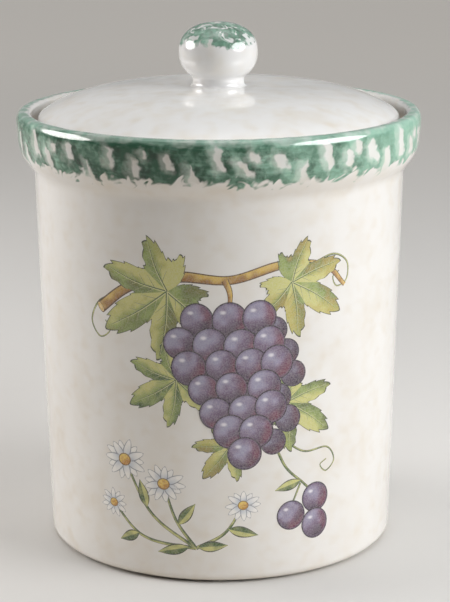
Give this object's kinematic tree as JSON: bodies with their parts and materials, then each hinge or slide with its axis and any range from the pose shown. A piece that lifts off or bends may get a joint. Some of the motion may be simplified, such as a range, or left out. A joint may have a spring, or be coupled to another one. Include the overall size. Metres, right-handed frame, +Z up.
{
  "type": "kitchen canister",
  "caption": "Lidded ceramic storage crock with a raised collar, a lift-off domed lid seated inside it, a ball knob and a finned sealing ring for keeping dry food.",
  "frame": {"origin": "centre of the foot ring, on the surface the crock stands on", "axes": "+Z up along the axis of revolution; -Y is the front that the picture shows, +X to its right"},
  "size_m": [0.1642, 0.1642, 0.2136],
  "materials": {
    "crock_glaze": "clear gloss glaze over cream-white earthenware, green sponged collar",
    "lid_glaze": "clear gloss glaze over cream-white earthenware",
    "knob_glaze": "clear gloss glaze, green sponged cap",
    "silicone": "satin translucent white silicone"
  },
  "bodies": {
    "crock": {"crock_body": "crock_glaze"},
    "seal": {"seal_ring": "silicone"},
    "lid": {"lid": "lid_glaze", "knob": "knob_glaze"}
  },
  "joints": [
    {"name": "lid_lift", "type": "slide", "parent": "crock", "child": "seal", "axis": [0, 0, 1], "range_m": [0, 0.16]},
    {"name": "lid_turn", "type": "hinge", "parent": "seal", "child": "lid", "pos_m": [0, 0, 0.169], "axis": [0, 0, 1], "continuous": true}
  ]
}
